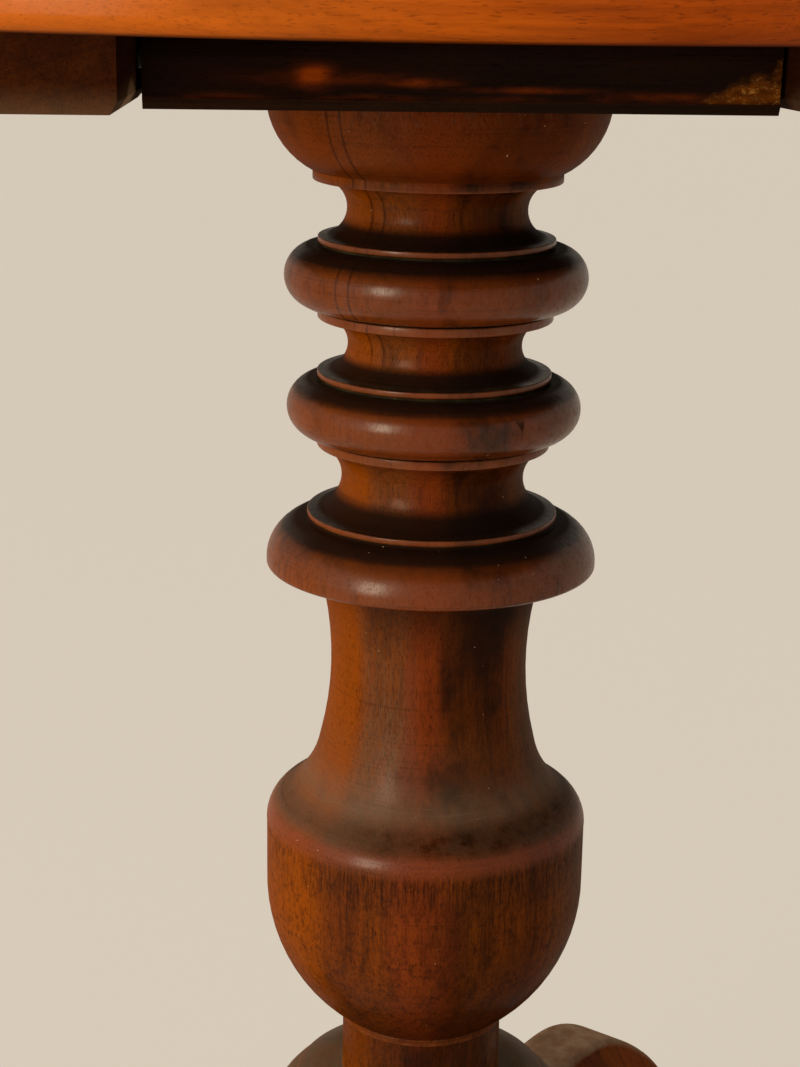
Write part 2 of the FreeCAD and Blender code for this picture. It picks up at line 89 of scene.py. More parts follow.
class Finish:
    """The node tree of a material or of the world in the making."""

    def __init__(self, owner):
        owner.use_nodes = True
        self.owner = owner
        self.nodes = owner.node_tree.nodes
        self.links = owner.node_tree.links
        self.place = self.node("ShaderNodeTexCoord", {}, {}, "Object")

    def node(self, kind, settings, inputs, output=0):
        """Any node: its settings first, then the values or links of its sockets."""
        made = self.nodes.new(kind)
        for key, value in settings.items():
            setattr(made, key, value)
        for key, value in inputs.items():
            self.feed(made.inputs[key], value)
        return Wire(self, made.outputs[output])

    def feed(self, socket, value):
        """A link where the value varies, and a plain setting where it does not."""
        if isinstance(value, Wire):
            self.links.new(value.socket, socket)
        else:
            socket.default_value = value

    def mix(self, share, first, second):
        """The second colour over the first, by a share that may vary."""
        return self.node("ShaderNodeMix", {"data_type": "RGBA"}, {0: share, 6: first, 7: second}, 2)

    def grain(self, scale, stretch, detail=2.0, rough=0.5, warp=0.0, shift=(0.0, 0.0, 0.0)):
        """Noise drawn out along the wood's own Z, about 0.5 in the middle."""
        drawn_out = (1.0, 1.0, 1.0 / stretch)
        place = self.node(
            "ShaderNodeMapping", {}, {"Vector": self.place, "Location": shift, "Scale": drawn_out}
        )
        return self.node(
            "ShaderNodeTexNoise", {},
            {"Vector": place, "Scale": scale, "Detail": detail, "Roughness": rough, "Distortion": warp},
        )

    def attribute(self, name):
        """A mask that the mesh carries."""
        return self.node("ShaderNodeAttribute", {"attribute_name": name}, {}, "Fac")

    def toward(self, azimuth):
        """1 on the side that faces an azimuth, counted from the front to the right, and -1 opposite."""
        level = self.node(
            "ShaderNodeVectorMath", {"operation": "MULTIPLY"}, {0: self.place, 1: (1.0, 1.0, 0.0)}
        )
        unit = self.node("ShaderNodeVectorMath", {"operation": "NORMALIZE"}, {0: level})
        turn = math.radians(azimuth)
        side = (math.sin(turn), -math.cos(turn), 0.0)
        return self.node("ShaderNodeVectorMath", {"operation": "DOT_PRODUCT"}, {0: unit, 1: side}, "Value")

    def along(self, axis):
        """Place along one axis of the table, in metres."""
        place = self.node("ShaderNodeTexCoord", {}, {}, "Object")
        return self.node("ShaderNodeSeparateXYZ", {}, {0: place}, axis)

    def facing(self, axis):
        """How far the surface faces along one axis of the table, -1 to 1, where the mesh carries it."""
        normal = self.node("ShaderNodeAttribute", {"attribute_name": "facing"}, {}, "Vector")
        return self.node("ShaderNodeSeparateXYZ", {}, {0: normal}, axis)

    def coat(self, **inputs):
        """The shader's sockets, named with underscores for spaces; returns the finished material."""
        sockets = self.nodes["Principled BSDF"].inputs
        for key, value in inputs.items():
            label = key.replace("_", " ").title().replace("Ior", "IOR")
            self.feed(sockets[label], value)
        return self.owner

    def bump(self, height, depth):
        """Normal of a surface whose height varies from 0 to 1 over a depth in metres."""
        return self.node(
            "ShaderNodeBump", {}, {"Height": height, "Distance": depth, "Strength": 1.0}, "Normal"
        )


def paint(red, green, blue):
    """Linear colour of a swatch seen as 0 to 255."""
    shares = [seen / 255 for seen in (red, green, blue)]
    return [((s + 0.055) / 1.055) ** 2.4 if s > 10 / 255 else s / 12.92 for s in shares] + [1.0]


def new_piece(name, shape, material, body, slot, *stands_for, flat_area=math.inf):
    """Object of a finished bmesh, at the origin, riding on its body in place of its solids.

    Faces larger than the flat area are shaded flat, and the rest smooth.
    """
    mesh = bpy.data.meshes.new(name)
    shape.to_mesh(mesh)
    shape.free()
    mesh.materials.append(material)
    mesh.polygons.foreach_set("use_smooth", [face.area < flat_area for face in mesh.polygons])
    piece = bpy.data.objects.new(name, mesh)
    bpy.context.scene.collection.objects.link(piece)
    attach(piece, body)
    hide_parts(*stands_for)


weld = 0.001 * MM


def seam_of(node):
    """Outline of a turned solid, from its top down, as radius and height along its seam."""
    solid = bmesh.new()
    solid.from_mesh(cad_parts[node].data)
    bmesh.ops.remove_doubles(solid, verts=solid.verts, dist=weld)
    left = {v for v in solid.verts if abs(v.co.y) < weld and v.co.x > 0}
    here = max(left, key=lambda v: v.co.z)
    lowest = min(v.co.z for v in left)
    outline = []
    while here:
        left.discard(here)
        outline.append(Vector((here.co.x, 0, here.co.z)))
        linked = [e.other_vert(here) for e in here.link_edges if e.other_vert(here) in left]
        level = [v for v in left if abs(v.co.z - here.co.z) < weld]
        steps = (linked or level) if here.co.z > lowest + weld else []
        here = min(steps, key=lambda v: (v.co - here.co).length, default=None)
    solid.free()
    return outline


column_turns = 168
column_arris = 0.35 * MM
column_arris_angle = math.radians(25)
tenon_drop = 0.3 * MM
ray_start, ray_reach = 0.05 * MM, 45 * MM
least_slant = 1e-12
fan_half, fan_rays = 75, 21
ridge_gain = 1.4
rubbing_width = 5 * MM
flat_curve, round_curve = 0.015, 0.06

outline = seam_of("column")
outline[0].z -= tenon_drop
turned = bmesh.new()
chain = [turned.verts.new(point) for point in outline]
for above, below in zip(chain, chain[1:]):
    turned.edges.new((above, below))
arrises = [
    middle for above, middle, below in zip(chain, chain[1:], chain[2:])
    if (middle.co - above.co).angle(below.co - middle.co) > column_arris_angle
]
bmesh.ops.bevel(
    turned, geom=arrises, offset=column_arris, segments=3, profile=0.5, affect="VERTICES", material=-1
)
ends = [v for v in turned.verts if len(v.link_edges) == 1]
top_end = max(ends, key=lambda v: v.co.z)
foot_end = min(ends, key=lambda v: v.co.z)
profile = [top_end]
while profile[-1] is not foot_end:
    linked = [e.other_vert(profile[-1]) for e in profile[-1].link_edges]
    profile.append(next(v for v in linked if v not in profile[-2:]))
line = np.array([(v.co.x, v.co.z) for v in profile])

# Masks along the outline: how open each place is to the room, which later paints shade into the recesses, how
# far it faces up, where it is sharp, and where it is round enough to be rubbed
tangent = np.gradient(line, axis=0)
tangent /= np.linalg.norm(tangent, axis=1)[:, None]
outward = np.stack([-tangent[:, 1], tangent[:, 0]], axis=1)
starts = line + outward * ray_start
segment_a, segment_b = line[:-1], line[1:]
fan = np.radians(np.linspace(-fan_half, fan_half, fan_rays))
openness = np.zeros(len(line))
for angle in fan:
    turn = np.array([[math.cos(angle), math.sin(angle)], [-math.sin(angle), math.cos(angle)]])
    ray = outward @ turn
    side = segment_b - segment_a
    across = ray[:, None, 0] * side[None, :, 1] - ray[:, None, 1] * side[None, :, 0]
    gap = segment_a[None] - starts[:, None]
    across = np.where(np.abs(across) < least_slant, least_slant, across)
    along = (gap[..., 0] * side[None, :, 1] - gap[..., 1] * side[None, :, 0]) / across
    share = (gap[..., 0] * ray[:, None, 1] - gap[..., 1] * ray[:, None, 0]) / across
    blocked = ((along > 0) & (along < ray_reach) & (share >= 0) & (share <= 1)).any(axis=1)
    openness += np.where(blocked, 0, math.cos(angle))
openness /= np.cos(fan).sum()
upness = outward[:, 1]
turn_in = np.zeros(len(line))
turn_in[1:-1] = tangent[:-2, 0] * tangent[2:, 1] - tangent[:-2, 1] * tangent[2:, 0]
distance = np.concatenate([[0], np.cumsum(np.linalg.norm(np.diff(line, axis=0), axis=1))])
near = np.exp(-((distance[:, None] - distance[None]) / rubbing_width) ** 2)
roundness = -(near @ (turn_in / 2)) / (near @ np.gradient(distance))
rubbing = np.clip((roundness * MM - flat_curve) / (round_curve - flat_curve), 0, 1)

for end in (top_end, foot_end):
    centre = turned.verts.new((0, 0, end.co.z))
    turned.edges.new((centre, end))
bmesh.ops.spin(
    turned, geom=turned.verts[:] + turned.edges[:], axis=(0, 0, 1), cent=(0, 0, 0), angle=math.tau,
    steps=column_turns, use_merge=True, use_duplicate=False,
)
bmesh.ops.remove_doubles(turned, verts=turned.verts, dist=weld)
bmesh.ops.recalc_face_normals(turned, faces=turned.faces)
tree = KDTree(len(line))
for index, (radius, rise) in enumerate(line):
    tree.insert((radius, 0, rise), index)
tree.balance()
openness_layer = turned.verts.layers.float.new("openness")
upness_layer = turned.verts.layers.float.new("upness")
ridge_layer = turned.verts.layers.float.new("ridge")
rubbing_layer = turned.verts.layers.float.new("rubbing")
for vert in turned.verts:
    nearest = tree.find((math.hypot(vert.co.x, vert.co.y), 0, vert.co.z))[1]
    vert[openness_layer] = openness[nearest]
    vert[upness_layer] = upness[nearest]
    vert[ridge_layer] = max(0.0, min(1.0, -turn_in[nearest] * ridge_gain))
    vert[rubbing_layer] = rubbing[nearest]


def mahogany(name, axes, pith, tones, ring_width, shift):
    """Solid mahogany for any piece: growth rings about a pith, streaks, fibres and pores along the grain.

    Returns the finish, its colour so far, and the masks of its fibres and pores.
    """
    finish = Finish(bpy.data.materials.new(name))
    finish.place = finish.node(
        "ShaderNodeMapping", {"vector_type": "TEXTURE"},
        {"Vector": finish.place, "Location": shift, "Rotation": axes},
    )
    dark, red, orange = tones
    patches = finish.grain(20.0, 2.5, detail=3.0)
    streaks = finish.grain(95.0, 18.0, detail=4.0, rough=0.6, warp=0.3)
    fibres = finish.grain(900.0, 24.0, detail=3.0, rough=0.6)
    pores = finish.grain(2800.0, 9.0, detail=1.0, shift=(0.3, 0.1, 0.0)).between(0.6, 0.74)
    round_pith = finish.node(
        "ShaderNodeMapping", {},
        {"Vector": finish.place, "Location": (-pith[0], -pith[1], 0.0), "Scale": (1.0, 1.0, 0.12)},
    )
    rings = finish.node(
        "ShaderNodeTexWave", {"wave_type": "RINGS", "rings_direction": "Z", "wave_profile": "SAW"},
        {"Vector": round_pith, "Scale": math.tau / (20 * ring_width), "Distortion": 3.2, "Detail": 3.0,
         "Detail Scale": 0.7 / ring_width * MM, "Detail Roughness": 0.6},
    )
    colour = finish.mix((patches * 0.7 + streaks * 0.3).between(0.38, 0.6), red, orange)
    colour = finish.mix(streaks.between(0.5, 0.72) * 0.55, colour, dark)
    colour = finish.mix(rings.between(0.75, 0.99) * 0.25, colour, dark)
    colour = finish.mix(fibres.between(0.42, 0.7) * 0.4, colour, dark)
    colour = finish.mix(pores * 0.6, colour, dark)
    return finish, colour, fibres, pores


column_dark = paint(30, 14, 6)
column_tones = (column_dark, paint(96, 42, 8), paint(122, 57, 6))
pale_lit_left_tone = paint(138, 65, 3)
sheen_and_dust_tone = paint(98, 70, 48)
flush_tone = paint(116, 44, 20)
rim_sheen_tone = paint(92, 78, 56)
round_tone = paint(112, 52, 16)
bowl_tone = paint(112, 46, 4)
ridge_tone = paint(116, 52, 26)
crease_dust_and_sheen_tone = paint(90, 70, 52)
grime_and_shade_tone = paint(25, 16, 10)
dust_and_sheen_tone = paint(108, 87, 68)
hub_dust_and_sheen_tone = paint(92, 76, 56)
quirk_tone = paint(74, 68, 48)
bare_tone = paint(124, 64, 28)
speck_tone = paint(168, 138, 104)

# Sides of the column in degrees from the front to the right, and heights above the floor, from the hub up
pale_lit_side, sheen_side, flush_side, stripe_side, shaded_side, rim_sheen_side = -81, -28, -5, -6, 24, 75
hub_below, stripe_end, bulb_foot, bulb_middle = 324.5 * MM, 340 * MM, 355 * MM, 390 * MM
strokes_foot, strokes_head, ridge_top, crease_top = 402 * MM, 412 * MM, 423.5 * MM, 428.5 * MM
rubbed_below, cap_foot = 450 * MM, 500 * MM
bowl_above, bowl_lip, bowl_head, block_foot = 631.6 * MM, 638 * MM, 644 * MM, 652 * MM
growth_lines, growth_wander = (-6.2 * MM, -1.5 * MM), 1.5 * MM
growth_across, growth_above = (0.81, -0.58), 570 * MM
dent_side, dent_tip, dent_height, dent_width, dent_lean = 30.8, 555.0 * MM, 7.0 * MM, 1.7 * MM, 0.6
column_relief = 0.05 * MM

finish, colour, fibres, pores = mahogany(
    "column_mahogany", axes=(0.0, 0.0, 0.0), pith=(0.085, 0.03), tones=column_tones, ring_width=9 * MM,
    shift=(0.0, 0.0, 0.0),
)
mottle = finish.grain(160.0, 1.2, detail=4.0, rough=0.7).between(0.35, 0.7)
stain = finish.grain(42.0, 1.6, detail=4.0, rough=0.65, shift=(0.4, 0.2, 0.1))
ticks = finish.grain(3200.0, 8.0, detail=2.0, rough=0.6, shift=(0.1, 0.5, 0.2)).between(0.54, 0.68)
turning = finish.grain(14.0, 0.012, detail=3.0, rough=0.7, shift=(0.2, 0.6, 0.0)).between(0.5, 0.72)
scores = finish.grain(60.0, 0.03, detail=3.0, rough=0.7).between(0.5, 0.75)
specks = finish.grain(900.0, 1.0, detail=0.0, shift=(0.7, 0.3, 0.2)).between(0.9, 0.91)
strokes = finish.grain(1500.0, 14.0, detail=3.0, rough=0.7, shift=(0.6, 0.1, 0.4)).between(0.38, 0.64)
flecks = finish.grain(450.0, 1.4, detail=4.0, rough=0.75, shift=(0.2, 0.2, 0.6)).between(0.48, 0.66)
wander = 0.25 * (stain - 0.5)
pale_lit_left = (finish.toward(pale_lit_side) + wander).between(0.7, 0.88)
sheen_band = (finish.toward(sheen_side) + 0.3 * wander).between(0.93, 0.985)
flush = (finish.toward(flush_side) + 0.3 * wander).between(0.965, 0.995)
dark = (finish.toward(shaded_side) + wander).between(0.88, 0.985)
rim_sheen = (finish.toward(rim_sheen_side) + wander).between(0.8, 1.0)
stain_patches = stain.between(0.42, 0.62)
across_growth = finish.along("X") * growth_across[0] + finish.along("Y") * growth_across[1]
across_growth = across_growth + growth_wander * wander
openness_mask = finish.attribute("openness")
upness_mask = finish.attribute("upness")
ridge_mask = finish.attribute("ridge")
height = finish.along("Z")
unrubbed = height.between(rubbed_below, rubbed_below + 50 * MM)
on_hub = 1.0 - height.between(hub_below, hub_below + 10 * MM)
on_bowl = height.between(bowl_above, bowl_above + 1 * MM)
on_bulb = 1.0 - height.between(ridge_top - 7 * MM, ridge_top - 2 * MM)
above_ridge = height.between(ridge_top - 1 * MM, ridge_top + 3 * MM)
crease = above_ridge * (1.0 - height.between(crease_top, crease_top + 5 * MM))
ridge = (1.0 - on_bulb) * (1.0 - height.between(ridge_top - 1 * MM, ridge_top + 2 * MM))
polish = finish.attribute("rubbing") * (1.0 - on_bowl) * (0.3 + 0.7 * unrubbed)
shelf = upness_mask.between(0.25, 0.65)
# Up-facing recesses under the rings and the top darkened: partly black wax grime, partly painted shade
grime_and_shade = shelf * (1.0 - (openness_mask + 0.03 * (mottle - 0.5)).between(0.76, 1.0)) * (0.15 + 0.85 * unrubbed)
above_crease = height.between(crease_top, crease_top + 6 * MM)
on_shoulder = openness_mask.between(0.78, 0.96) * (1.0 - unrubbed) * above_crease
settled = upness_mask.between(0.05, 0.8) * on_shoulder + upness_mask.between(0.1, 0.5) * on_hub
# Grey on what faces up on the shoulder and the hub: partly dust, partly painted sheen
dust_and_painted_light = settled * (0.65 + 0.25 * mottle + 0.3 * scores)
quirk = shelf * (1.0 - openness_mask.between(0.25, 0.5)) * (0.3 + 0.7 * mottle)
worn = ridge_mask.between(0.45, 0.8) * (0.2 + 0.6 * mottle) * (1.0 - 0.7 * pores)
# The left side paler and more orange: partly the wood's own tone, partly painted light from the left
colour = finish.mix(pale_lit_left * (0.3 + 0.6 * fibres) * (1.0 - 0.8 * polish), colour, pale_lit_left_tone)
# A greyish band on the front left of the neck, where the lamp is reflected: painted sheen. The same grey is
# used below as dust flecks on the top of the bowl
painted_sheen = sheen_band * (0.35 + 0.65 * strokes) * (1.0 - 0.7 * polish) * (1.0 - on_bulb)
colour = finish.mix(painted_sheen * (0.75 - 0.45 * height.between(rubbed_below, cap_foot)), colour, sheen_and_dust_tone)
colour = finish.mix(flush * (0.25 + 0.4 * strokes), colour, flush_tone)
# Darker on the right of the front, in patches: partly stains, partly painted shade on the side away from the
# light
shade_and_stain = dark * (0.6 + 0.3 * stain_patches) * (1.0 - 0.45 * polish) * (1.0 - 0.4 * on_bulb)
colour = finish.mix(shade_and_stain, colour, column_dark)
# Olive grey on the right edge: painted reflection of the pale surround
colour = finish.mix(rim_sheen * 0.25, colour, rim_sheen_tone)
colour = finish.mix(polish * (0.65 - 0.4 * pale_lit_left) * (1.0 - 0.6 * stain_patches), colour, round_tone)
colour = finish.mix(on_bowl * (0.5 - 0.4 * rim_sheen), colour, bowl_tone)
colour = finish.mix(on_bowl * (0.35 - 0.35 * height.between(bowl_above, bowl_lip)), colour, column_dark)
colour = finish.mix(height.between(bowl_head, block_foot) * flecks * 0.35, colour, sheen_and_dust_tone)
for growth_line in growth_lines:
    beside = (across_growth - growth_line) * (1 / MM)
    above_start = height.between(growth_above, growth_above + 10 * MM)
    growth = (1.0 - (beside * beside).between(0.03, 0.45)) * above_start
    colour = finish.mix(growth * (0.3 + 0.4 * fibres), colour, column_dark)
on_cap = height.between(cap_foot, cap_foot + 2 * MM)
# Darker for a band under the cap, least on the left: painted shade under the cap
painted_shade_under_cap = height.between(cap_foot - 22 * MM, cap_foot) * (1.0 - on_cap)
colour = finish.mix(painted_shade_under_cap * (0.6 - 0.5 * pale_lit_left), colour, column_dark)
colour = finish.mix(on_bulb * flecks * 0.5, colour, column_dark)
low_down = (0.4 - 0.4 * height.between(bulb_foot, bulb_middle)) * (1.0 - 0.6 * on_hub)
colour = finish.mix(low_down, colour, column_dark)
below_ridge = height.between(strokes_foot, strokes_head) * on_bulb
colour = finish.mix(below_ridge * strokes * (0.7 - 0.5 * pale_lit_left), colour, column_dark)
colour = finish.mix(ridge * 0.6, colour, ridge_tone)
# In the crease above the ridge: painted shade on the front and right, and a dusty grey with painted sheen on
# the sides
in_front = finish.toward(shaded_side).between(0.1, 0.95) * (0.75 + 0.5 * (mottle - 0.5))
colour = finish.mix(crease * in_front * 0.8, colour, column_dark)
colour = finish.mix(crease * (1.0 - in_front) * 0.7, colour, crease_dust_and_sheen_tone)
below_stripe_end = 1.0 - height.between(stripe_end, stripe_end + 10 * MM)
stripe = finish.toward(stripe_side).between(0.972, 0.992) * below_stripe_end * (1.0 - on_hub)
colour = finish.mix(stripe * 0.7, colour, column_dark)
blotches = stain.between(0.55, 0.7) * (0.3 + 0.4 * dark) * (1.0 - 0.7 * on_bulb)
colour = finish.mix(blotches, colour, column_dark)
colour = finish.mix(ticks * (0.5 - 0.35 * polish), colour, column_dark)
colour = finish.mix(turning * (0.1 + 0.3 * mottle), colour, column_dark)
dent_turn = math.radians(dent_side)
up_dent = (height - dent_tip) * (1 / dent_height)
across_dent = finish.along("X") * math.cos(dent_turn) + finish.along("Y") * math.sin(dent_turn)
beside_dent = across_dent * (1 / dent_width) + dent_lean * (up_dent - 0.5) + 0.5 * (mottle - 0.5)
in_wedge = (up_dent * up_dent - beside_dent * beside_dent).between(-0.1, 0.5)
dent_ends = up_dent.between(0.0, 0.3) * (1.0 - up_dent.between(0.7, 1.2))
dent = in_wedge * finish.toward(dent_side).between(0.9, 0.95) * dent_ends
colour = finish.mix(dent * 0.85, colour, grime_and_shade_tone)
colour = finish.mix(dust_and_painted_light * 0.85, colour, finish.mix(on_hub, dust_and_sheen_tone, hub_dust_and_sheen_tone))
colour = finish.mix(grime_and_shade * 0.94, colour, grime_and_shade_tone)
colour = finish.mix(quirk * 0.6, colour, quirk_tone)
colour = finish.mix(worn, colour, bare_tone)
colour = finish.mix(specks, colour, speck_tone)
wax = polish * (0.9 - 0.4 * flecks) * (1.0 - 0.35 * pale_lit_left - 0.2 * rim_sheen)
dulled = (1.0 - 0.5 * grime_and_shade) * (1.0 - 0.6 * ticks) * (1.0 - 0.8 * dent)
relief = 0.5 * fibres - 0.6 * pores - 0.6 * ticks - 0.4 * turning + 0.3 * mottle + 0.2 * scores * settled
column_finish = finish.coat(
    base_color=colour,
    roughness=0.4 + 0.12 * fibres + 0.2 * dust_and_painted_light,
    coat_weight=(0.12 + 0.12 * sheen_band + 0.25 * ridge + wax) * dulled,
    coat_roughness=0.27,
    coat_ior=1.35,
    specular_ior_level=0.0,
    normal=finish.bump(relief, depth=column_relief),
)
new_piece("turned_column", turned, column_finish, "base", "column_wood", "column")

# Legs: three swept legs sawn from mahogany plank, their upper edges rounded with a spokeshave, each slid
# up into the hub on a dovetail. What faces up is paler: partly years of dust and polish, partly painted
# light.
flat_angle, sharp_angle = math.radians(0.2), math.radians(30)


def solid_copy(node, edge):
    """Bmesh of a solid, its loose triangles joined, its sharp outer edges eased and its facing kept."""
    copy = bmesh.new()
    copy.from_mesh(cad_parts[node].data)
    bmesh.ops.remove_doubles(copy, verts=copy.verts, dist=weld)
    bmesh.ops.dissolve_limit(copy, angle_limit=flat_angle, verts=copy.verts, edges=copy.edges)
    arrises = [e for e in copy.edges if e.is_convex and e.calc_face_angle(0) > sharp_angle]
    bmesh.ops.bevel(
        copy, geom=arrises, offset=edge, segments=3, profile=0.5, affect="EDGES", clamp_overlap=True,
        material=-1,
    )
    copy.normal_update()
    facing_layer = copy.verts.layers.float_vector.new("facing")
    for vert in copy.verts:
        vert[facing_layer] = vert.normal
    return copy


# Where each leg points, in degrees from the right round by the rear
leg_azimuths = {"leg_rear_right": 50, "leg_left": 170, "leg_front_right": 290}
leg_slope = 143
leg_edge = 0.7 * MM
leg_dust_and_light_tone = paint(158, 130, 100)
leg_tones = (paint(32, 14, 5), paint(100, 43, 8), paint(126, 60, 8))
plank_face = 300 * MM * MM

for leg, azimuth in leg_azimuths.items():
    grain_axes = (0.0, math.radians(leg_slope), math.radians(azimuth))
    finish, colour, fibres, pores = mahogany(
        leg + "_mahogany", axes=grain_axes, pith=(0.06, 0.09), tones=leg_tones, ring_width=8 * MM,
        shift=(0.0, 0.0, 0.01 * azimuth),
    )
    mottle = finish.grain(120.0, 1.2, detail=4.0, rough=0.7).between(0.35, 0.7)
    # Pale on what faces up: partly dust, partly painted light on the tops
    dust_and_painted_light = finish.facing("Z").between(0.2, 0.8) * (0.5 + 0.5 * mottle)
    colour = finish.mix(dust_and_painted_light * 0.85, colour, leg_dust_and_light_tone)
    leg_finish = finish.coat(
        base_color=colour,
        roughness=0.42 + 0.12 * fibres + 0.2 * dust_and_painted_light,
        coat_weight=0.06 * (1.0 - 0.6 * dust_and_painted_light),
        coat_roughness=0.28,
        specular_ior_level=0.0,
        normal=finish.bump(0.6 * fibres - 0.8 * pores + 0.3 * mottle, depth=0.12 * MM),
    )
    shaped = solid_copy(leg, leg_edge)
    new_piece(leg + "_shaped", shaped, leg_finish, "base", "leg_wood", leg, flat_area=plank_face)

# Tripod plate: three arms of wrought iron under the hub, blackened by the smith, that keep the legs from
# spreading, with iron screws up into the hub and the legs. The bearers' screws are of the same iron, and the
# solids are as forged, so they stay.
def dress(material, *nodes):
    """The finish of solids that are shown as they are."""
    for node in nodes:
        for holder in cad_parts[node].material_slots:
            holder.material = material


scale_tone = paint(38, 35, 33)
pit_tone = paint(62, 57, 53)
rust_tone = paint(92, 50, 26)

finish = Finish(bpy.data.materials.new("blackened_iron"))
hammer = finish.grain(120.0, 1.0, detail=2.0)
pits = finish.grain(700.0, 1.0, detail=3.0, rough=0.65)
rust = finish.grain(60.0, 1.0, detail=5.0, rough=0.7, shift=(0.2, 0.0, 0.3)).between(0.52, 0.72)
blackened_iron = finish.coat(
    base_color=finish.mix(rust * 0.7, finish.mix(pits, scale_tone, pit_tone), rust_tone),
    metallic=0.9 - 0.8 * rust,
    roughness=0.45 + 0.15 * pits + 0.25 * rust,
    normal=finish.bump(hammer + 0.25 * pits, depth=0.4 * MM),
)
dress(blackened_iron, "tripod_plate", "tripod_plate_screws", "bearer_screws")

# Block: a square of dark stained mahogany, wedged on the column's tenon, its lower front and rear edges
# bevelled and its front upper edge rounded about the hinge. Knocks have worn the front arris and torn its
# right corner.
block_edge = 0.5 * MM
block_tones = (paint(13, 9, 6), paint(28, 17, 11), paint(44, 24, 13))
torn_tones = (paint(132, 70, 14), paint(226, 160, 80))
red_tone = paint(180, 76, 8)
bevel_tone = paint(58, 40, 24)
block_face = 60 * MM * MM
front_strip = 4 * MM
moved_strip = 0.9 * front_strip
column_step = 1.0 * MM
row_step = 0.6 * MM
slice_weld = 0.0001 * MM
bevel_height = 3 * MM
torn_length = 23 * MM
torn_height = 11 * MM
torn_depth = 1.4 * MM
arris_depth = 0.4 * MM

# Rubbed places on the block's front: across and up in mm, half width and half height, and strength
rubs = (
    (-40.0, 9.2, 4.5, 2.4, 1.2),
    (-36.0, 8.7, 18.0, 1.5, 0.32),
    (-12.0, 7.7, 8.0, 1.0, 0.55),
    (18.0, 6.0, 14.0, 0.7, 0.35),
    (52.0, 4.6, 12.0, 1.0, 0.3),
)

block_low, block_high = (Vector(corner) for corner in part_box("pivot_block"))
block = solid_copy("pivot_block", block_edge)
bmesh.ops.bisect_plane(
    block, geom=block.verts[:] + block.edges[:] + block.faces[:], plane_co=(0, block_low.y + front_strip, 0),
    plane_no=(0, 1, 0),
)


def slice_front(mesh, normal, start, stop, step):
    """Cuts the block's front strip at even steps along one axis."""
    axis = Vector(normal)
    for index in range(1, round((stop - start) / step)):
        strip = [f for f in mesh.faces if f.calc_center_median().y < block_low.y + front_strip]
        around = {v for f in strip for v in f.verts} | {e for f in strip for e in f.edges} | set(strip)
        bmesh.ops.bisect_plane(
            mesh, geom=list(around), plane_co=axis * (start + index * step), plane_no=axis, dist=slice_weld
        )


slice_front(block, (1, 0, 0), block_low.x, block_high.x, column_step)
slice_front(block, (0, 0, 1), block_low.z, block_high.z, row_step)
torn_layer = block.verts.layers.float.new("torn")
rubbed_layer = block.verts.layers.float.new("rubbed")
bevel_top = block_low.z + bevel_height
for vert in block.verts:
    if vert.co.y > block_low.y + moved_strip:
        continue
    across, up = vert.co.x / MM, (vert.co.z - block_low.z) / MM
    wave = noise.noise(Vector((across * 0.055, 3.1, 0)))
    arris = math.exp(-((up - bevel_height / MM - 0.5 - 0.7 * wave) / 0.7) ** 2)
    marks = [
        strength * math.exp(-((across - x) / width) ** 2 - ((up - z) / tall) ** 2)
        for x, z, width, tall, strength in rubs
    ]
    toward_end = 1.0 - (block_high.x - vert.co.x) / torn_length
    above = (vert.co.z - bevel_top) / torn_height
    tear = 0.0
    if toward_end > 0 and above > 0:
        fray = noise.noise(Vector((across * 0.25, 5.2, up * 0.5)))
        fray += 0.5 * noise.noise(Vector((across * 0.7, 1.2, up * 1.6)))
        limit = toward_end ** 0.8 * (1.0 + 0.3 * noise.noise(Vector((across * 0.4, 0, 1.7))))
        tear = max(0.0, min(1.0, 3.0 * (limit - above))) * max(0.0, min(1.0, 0.8 + 0.7 * fray))
    vert[torn_layer] = tear
    on_face = max(0.0, min(1.0, 2.0 * (up - bevel_height / MM) + 1.0))
    vert[rubbed_layer] = on_face * max(max(marks), 0.15 * arris * (0.6 + wave))
    vert.co.y += torn_depth * tear + arris_depth * arris * max(0.0, 0.4 + wave)

finish, colour, fibres, pores = mahogany(
    "block_mahogany", axes=(0.0, math.pi / 2, 0.0), pith=(0.05, 0.12), tones=block_tones, ring_width=9 * MM,
    shift=(0.0, 0.0, 0.62),
)
torn = finish.attribute("torn")
rubbed = finish.attribute("rubbed")
clouds = finish.grain(260.0, 3.0, detail=4.0, rough=0.65, shift=(0.1, 0.7, 0.0))
shreds = finish.grain(700.0, 1.6, detail=4.0, rough=0.7, warp=0.6, shift=(0.0, 0.3, 0.2))
bare_wood = finish.mix(shreds.between(0.5, 0.72), torn_tones[0], torn_tones[1])
below = 1.0 - finish.facing("Z").between(-0.8, -0.3)
colour = finish.mix(below * 0.4, colour, bevel_tone)
colour = finish.mix(rubbed * (0.35 + 0.9 * clouds.between(0.3, 0.7)), colour, red_tone)
colour = finish.mix(torn * (0.35 + 0.65 * clouds.between(0.32, 0.55)), colour, bare_wood)
block_finish = finish.coat(
    base_color=colour,
    roughness=0.45 + 0.12 * fibres + 0.25 * torn,
    coat_weight=0.03 * (1.0 - torn),
    coat_roughness=0.3,
    specular_ior_level=0.0,
    normal=finish.bump(0.6 * fibres - 0.8 * pores + 2.5 * torn * shreds, depth=0.15 * MM),
)
new_piece("hinged_block", block, block_finish, "base", "block_wood", "pivot_block", flat_area=block_face)

# Wedge and pins: a hardwood wedge driven into the split tenon from above, and two slotted steel pivot screws,
# one each side, through the bearers into the block, on which the top tilts. The catch's spring is of the same
# steel, and the solids stay.
wedge_tones = (paint(92, 60, 32), paint(150, 108, 64), paint(172, 128, 78))
steel_tone = paint(52, 45, 39)
steel_rust_tone = paint(44, 31, 23)

